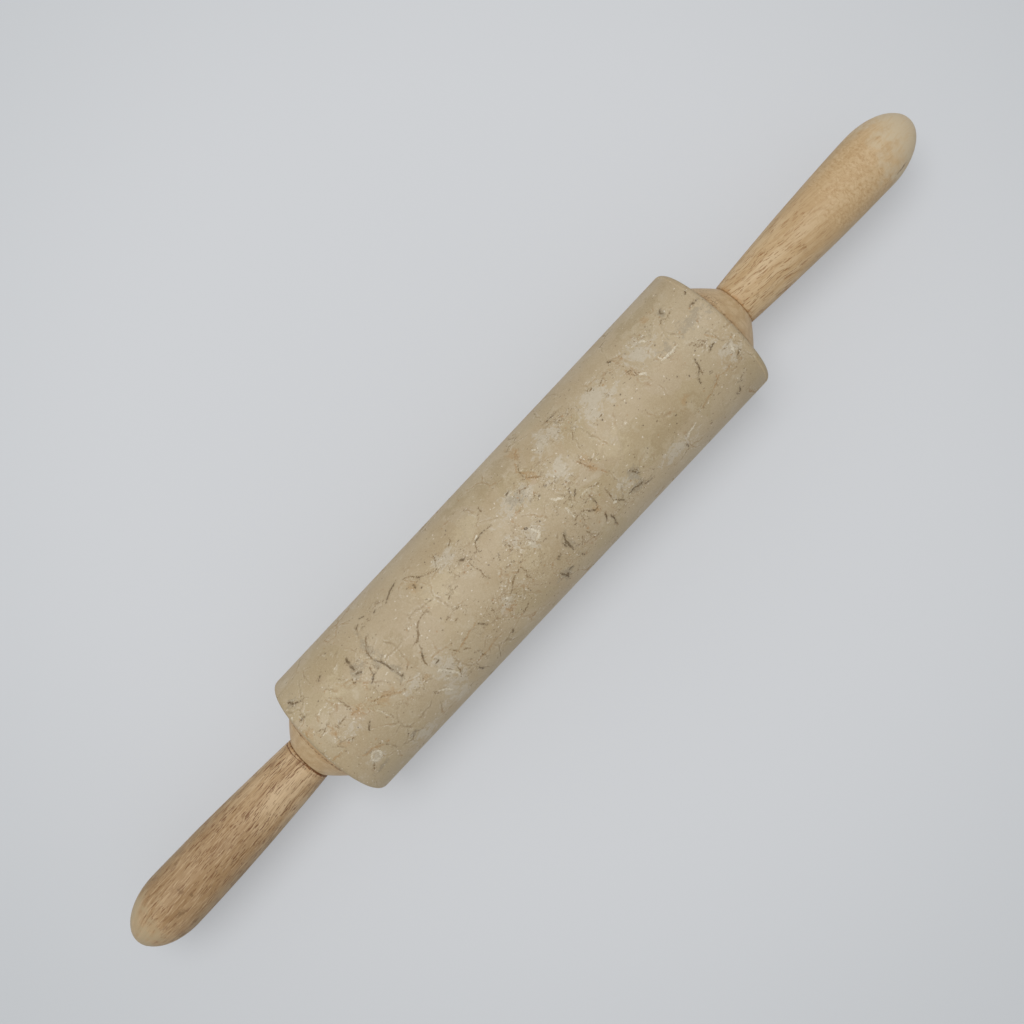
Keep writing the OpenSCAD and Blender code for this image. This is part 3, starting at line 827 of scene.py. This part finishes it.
def roller_outline():
    corner_x = ROLLER_END - RIM_ROUND
    corner_r = ROLLER_R - RIM_ROUND
    points = [(-ROLLER_END, ROLLER_BORE_R)]
    points.extend(spread(points[-1], (-ROLLER_END, corner_r), STONE_FACE_STEPS))
    points.extend(quarter(-corner_x, corner_r, RIM_ROUND, 180, 90, RIM_STEPS))
    points.extend(spread(points[-1], (corner_x, ROLLER_R), ROLLER_STEPS))
    points.extend(quarter(corner_x, corner_r, RIM_ROUND, 90, 0, RIM_STEPS))
    points.extend(spread(points[-1], (ROLLER_END, ROLLER_BORE_R), STONE_FACE_STEPS))
    points.extend(spread(points[-1], points[0], BORE_STEPS))
    points.pop()
    return points


# A stroke's points lie STROKE_STEP apart. They stray and jitter off their line by so many mm, in so
# many waves per mm, and the stroke is thinner at its ends and uneven along its length. Without a seed
# noise_vector() gives something else in each run.

STROKE_SEED = 1
STROKE_STEP = 0.9
STRAY, STRAY_WAVES = 0.55, 0.3
JITTER, JITTER_WAVES = 0.3, 1.0
THIN_END = 0.6
UNEVEN, UNEVEN_WAVES = 0.6, 0.7
UNEVEN_SHIFT = Vector((7, 0, 0))

STROKE_REACH = 4.0
MESH_BLUR = 0.03
NOTHING_NEAR = 9.0


def crooked(points):
    """The points of a stroke, each with its share of the half width, closer together and off their line."""
    dense = []
    for start, end in zip(points, points[1:]):
        steps = max(1, math.ceil((end - start).length / STROKE_STEP))
        dense.extend(start.lerp(end, i / steps) for i in range(steps))
    dense.append(points[-1])
    placed = []
    for i, point in enumerate(dense):
        strayed = STRAY * noise.noise_vector(point * STRAY_WAVES)
        offset = strayed + JITTER * noise.noise_vector(point * JITTER_WAVES)
        taper = THIN_END + (1 - THIN_END) * math.sin(math.pi * (i + 0.5) / len(dense))
        thick = 1 + UNEVEN * noise.noise(point * UNEVEN_WAVES + UNEVEN_SHIFT)
        placed.append((point.x + offset.x, point.y + offset.y, taper * thick))
    return placed


def stroke_distances(flat, strokes):
    """For each of the flat points, the distance in mm to the nearest stroke's edge."""
    x, y, depth = flat
    best = np.full(len(x), NOTHING_NEAR)
    for half_width, *points in strokes:
        radius = ROLLER_R / MM
        placed = crooked([Vector((px, math.radians(angle) * radius, 0)) for px, angle in points])
        for (ax, ay, share_a), (bx, by, share_b) in zip(placed, placed[1:]):
            near = np.nonzero((x > min(ax, bx) - STROKE_REACH) & (x < max(ax, bx) + STROKE_REACH)
                              & (y > min(ay, by) - STROKE_REACH) & (y < max(ay, by) + STROKE_REACH))[0]
            run_x, run_y = bx - ax, by - ay
            length = run_x ** 2 + run_y ** 2 + 1e-9
            along = np.clip(((x[near] - ax) * run_x + (y[near] - ay) * run_y) / length, 0, 1)
            aside = np.sqrt((x[near] - ax - along * run_x) ** 2 + (y[near] - ay - along * run_y) ** 2
                            + depth[near] ** 2)
            width = half_width * (share_a + (share_b - share_a) * along) + MESH_BLUR
            best[near] = np.minimum(best[near], aside - width)
    return best


def patch_shares(flat, patches):
    """For each of the flat points, 0 at the middle of the nearest patch and 1 at its edge."""
    x, y, depth = flat
    best = np.full(len(x), NOTHING_NEAR)
    for px, angle, along, across in patches:
        py = math.radians(angle) * ROLLER_R / MM
        share = np.sqrt(((x - px) / along) ** 2 + ((y - py) / across) ** 2 + (depth / across) ** 2)
        best = np.minimum(best, share)
    return best


def paint_stone(piece):
    """Stores four vectors at each vertex: lines (dark, cracks, rust), patches (pale, cream, grey),
    stains (olive, rust, specks) and rest (white strokes, busy patches, angle from the top). Strokes
    and specks are in mm, patches in shares of a patch, and the angle in shares of FINE_TURN."""
    noise.seed_set(STROKE_SEED)
    mesh = piece.data
    places = np.empty(len(mesh.vertices) * 3, np.float32)
    mesh.vertices.foreach_get("co", places)
    places = places.reshape(-1, 3).astype(float) / MM
    radius = ROLLER_R / MM
    around = np.arctan2(places[:, 1], places[:, 2]) * radius
    depth = radius - np.hypot(places[:, 1], places[:, 2])
    flat = (places[:, 0], around, depth)
    specks = [(x, angle, 1, 1) for x, angle in DARK_SPECKS]
    columns = {
        "lines": [stroke_distances(flat, marks) for marks in (DARK_STROKES, CRACKS, RUST_STROKES)],
        "patches": [patch_shares(flat, marks) for marks in (PALE_PATCHES, CREAM_PATCHES, GREY_PATCHES)],
        "stains": [patch_shares(flat, marks) for marks in (OLIVE_PATCHES, RUST_PATCHES, specks)],
    }
    turned = np.abs(around) / (radius * FINE_TURN)
    columns["rest"] = [stroke_distances(flat, WHITE_STROKES), patch_shares(flat, BUSY_PATCHES), turned]
    for name, values in columns.items():
        stored = mesh.attributes.new(name, "FLOAT_VECTOR", "POINT")
        stored.data.foreach_set("vector", np.stack(values, axis=1).astype(np.float32).ravel())


def mirrored(outline):
    return [(-x, r) for x, r in outline]


def collar_outline(neck_r, joint_shows):
    """The right collar: spigot, straight band, bulging slope, neck, recess and bore.

    A thin lip at the neck leaves only joint_shows of the gap to the handle in sight."""
    def slope(t):
        x = ROLLER_END + COLLAR_LAND + (COLLAR_HIGH.x - ROLLER_END - COLLAR_LAND) * t
        r = COLLAR_R * (1 - t) + neck_r * t + 4 * COLLAR_CROWN * t * (1 - t)
        return x, r
    points = [(COLLAR_LOW.x, COLLAR_BORE_R), (COLLAR_LOW.x, SPIGOT_R), (ROLLER_END, SPIGOT_R)]
    points.extend(spread(points[-1], (ROLLER_END, COLLAR_R), COLLAR_FACE_STEPS))
    points.append((ROLLER_END + COLLAR_LAND, COLLAR_R))
    curve(points, CONE_STEPS, slope)
    lip_x = HANDLE_FACE - joint_shows
    recess_x = BUSH_HIGH.x - FLANGE
    points += [(lip_x, neck_r - LIP_RIM), (lip_x, neck_r - LIP_DEPTH), (COLLAR_HIGH.x, neck_r - LIP_FOOT),
               (COLLAR_HIGH.x, RECESS_R), (recess_x, RECESS_R), (recess_x, COLLAR_BORE_R)]
    return points


def handle_outline(neck_r, bead):
    """The right handle, from the bottom of its drilled hole round to its tip."""
    belly_x = HANDLE_TIP - NOSE_LENGTH * math.sqrt(1 - (TIP_R / BELLY_R) ** 2)
    insert_r = INSERT_HIGH.z + INSERT_GAP

    def swell_r(x):
        share = (x - HANDLE_FACE) / (belly_x - HANDLE_FACE)
        return neck_r + (BELLY_R - neck_r) * (1 - (1 - share) ** BELLY_POWER)

    drilled_to = HANDLE_FACE + DRILL_DEPTH
    start = HANDLE_FACE + HANDLE_CHAMFER
    points = [(drilled_to + DRILL_R * DRILL_POINT, 0), (drilled_to, DRILL_R), (INSERT_HIGH.x, DRILL_R),
              (INSERT_HIGH.x, insert_r), (HANDLE_FACE, insert_r),
              (HANDLE_FACE, neck_r - HANDLE_CHAMFER), (start, swell_r(start))]
    if bead:
        bead_end = HANDLE_FACE + BEAD_WIDTH
        start = bead_end + 2 * BEAD_GROOVE
        points += [(bead_end, swell_r(bead_end)),
                   ((bead_end + start) / 2, swell_r(bead_end) - BEAD_GROOVE), (start, swell_r(start))]
    swell = belly_x - start
    curve(points, SWELL_STEPS, lambda t: (start + swell * t, swell_r(start + swell * t)))
    end_angle = math.acos(TIP_R / BELLY_R)
    curve(points, NOSE_STEPS, lambda t: (belly_x + NOSE_LENGTH * math.sin(end_angle * t),
                                         BELLY_R * math.cos(end_angle * t)))
    points += [(HANDLE_TIP, TIP_R / 2), (HANDLE_TIP, 0)]
    return points


def hand_sanded(seed):
    """Soft unevenness of up to twice SANDED_DEPTH, always inward, as sanding by hand leaves."""
    def shape(x, r, angle):
        if r < COLLAR_BORE_R:
            return r
        spot = Vector((x * SANDED_WAVES_ALONG + seed,
                       math.sin(angle) * SANDED_WAVES_ROUND, math.cos(angle) * SANDED_WAVES_ROUND))
        return r - SANDED_DEPTH * (1 + noise.noise(spot))
    return shape


roller = lathe("roller_stone", roller_outline(), marble(), angles=ROLLER_TURN)
paint_stone(roller)
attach(roller, "roller")
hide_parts("marble_roller")

for side, sign in (("right", 1), ("left", -1)):
    neck_r = HANDLE_NECK_R[side]
    outline = collar_outline(neck_r - NECK_STEP, JOINT_SHOWS[side])
    collar = lathe(side + "_collar_wood", outline if sign > 0 else mirrored(outline), collar_wood(side))
    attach(collar, "roller")
    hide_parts(side + "_collar")

    outline = handle_outline(neck_r, side == "left")
    handle = lathe(side + "_handle_wood", outline if sign > 0 else mirrored(outline),
                   handle_wood(side), hand_sanded(sign * 5.0))
    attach(handle, "handles_and_axle")
    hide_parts(side + "_handle")

STEEL = metal("steel", srgb(188, 190, 194), 0.3, 0.25)
BRASS = metal("brass", srgb(206, 170, 92), 0.4, 0.28)
NYLON = nylon()
FINISHES = {"axle_rod": STEEL, "left_washer": STEEL, "right_washer": STEEL,
            "left_insert": BRASS, "right_insert": BRASS, "left_bush": NYLON, "right_bush": NYLON}
for name, material in FINISHES.items():
    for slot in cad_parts[name].material_slots:
        slot.material = material

# Floor, light and camera

FLOOR_SIZE = 6.0
# Painted pool of light: FLOOR_COLOUR round PAINTED_LIGHT_SPOT, fading to FLOOR_EDGE_COLOUR from FADE_START to
# FADE_END metres away
FLOOR_COLOUR = srgb(209, 211, 214)
FLOOR_EDGE_COLOUR = srgb(196, 199, 202)
PAINTED_LIGHT_SPOT = (0.02, 0.03, FLOOR_Z)
FADE_START = 0.16
FADE_END = 0.42
FLOOR_GLOW = 0.42


def floor_material():
    """Pale, with a painted pool of light: lighter round PAINTED_LIGHT_SPOT and darker towards its edges. Part
    of it shows without light, which keeps the object's shadow weak.
    """
    g = new_material("floor")
    p = g.node("ShaderNodeTexCoord").outputs["Object"]
    away = g.vector("DISTANCE", p, PAINTED_LIGHT_SPOT)
    colour = g.mix(g.step(away, FADE_START, FADE_END), FLOOR_COLOUR, FLOOR_EDGE_COLOUR)
    glow = g.both(g.seen(), FLOOR_GLOW)
    lit = g.mix(glow, colour, (0, 0, 0, 1))
    return g.finish(Base_Color=lit, Roughness=0.9, Specular_IOR_Level=0.0,
                    Emission_Color=colour, Emission_Strength=glow)


def make_floor():
    half = FLOOR_SIZE / 2
    data = bpy.data.meshes.new("floor")
    corners = [(-half, -half, FLOOR_Z), (half, -half, FLOOR_Z), (half, half, FLOOR_Z), (-half, half, FLOOR_Z)]
    data.from_pydata(corners, [], [(0, 1, 2, 3)])
    data.materials.append(floor_material())
    floor = bpy.data.objects.new("floor", data)
    bpy.context.scene.collection.objects.link(floor)


LAMP_DISTANCE = 1.6
LAMP_SIZE = 0.95
LAMP_TILT = math.radians(13)
LAMP_POWER = 12.1
SKY_STRENGTH = 0.59
SKY_LOW = 0.72
SKY_COLOUR = (0.99, 0.995, 1.0, 1.0)
BACKDROP_COLOUR = FLOOR_EDGE_COLOUR


def make_light():
    """One soft lamp high up towards +Y, in an even sky that is dimmer near the ground.

    The camera and reflections see a plain pale backdrop in its place."""
    data = bpy.data.lights.new("window", "AREA")
    data.shape = "DISK"
    data.size = LAMP_SIZE
    data.energy = LAMP_POWER
    lamp = bpy.data.objects.new("window", data)
    bpy.context.scene.collection.objects.link(lamp)
    lamp.location = (0, LAMP_DISTANCE * math.sin(LAMP_TILT), LAMP_DISTANCE * math.cos(LAMP_TILT))
    lamp.rotation_euler = (-LAMP_TILT, 0, 0)
    g = Graph(bpy.data.worlds.new("sky"))
    direction = g.node("ShaderNodeTexCoord").outputs["Generated"]
    height = g.node("ShaderNodeSeparateXYZ", {0: direction}).outputs["Z"]
    levels = {"Value": height, "To Min": SKY_STRENGTH * SKY_LOW, "To Max": SKY_STRENGTH}
    strength = g.node("ShaderNodeMapRange", levels).outputs[0]
    sky = g.node("ShaderNodeBackground", {"Color": SKY_COLOUR, "Strength": strength}).outputs[0]
    backdrop = g.node("ShaderNodeBackground", {"Color": BACKDROP_COLOUR}).outputs[0]
    chosen = g.node("ShaderNodeMixShader", {0: g.seen(), 1: sky, 2: backdrop}).outputs[0]
    g.node("ShaderNodeOutputWorld", {"Surface": chosen})
    bpy.context.scene.world = g.owner


CAMERA_PLACE = (11.9 * MM, -15.6 * MM, 545 * MM)
CAMERA_ANGLES = (1.13, 2.446, -46.757)
CAMERA_LENS = 44.515
SENSOR_WIDTH = 36.0


def make_camera():
    data = bpy.data.cameras.new("camera")
    data.sensor_width = SENSOR_WIDTH
    data.lens = CAMERA_LENS
    data.clip_start = 0.01
    camera = bpy.data.objects.new("camera", data)
    bpy.context.scene.collection.objects.link(camera)
    camera.location = CAMERA_PLACE
    camera.rotation_euler = [math.radians(angle) for angle in CAMERA_ANGLES]
    bpy.context.scene.camera = camera


make_floor()
make_light()
make_camera()
bpy.context.scene.view_settings.view_transform = "Standard"
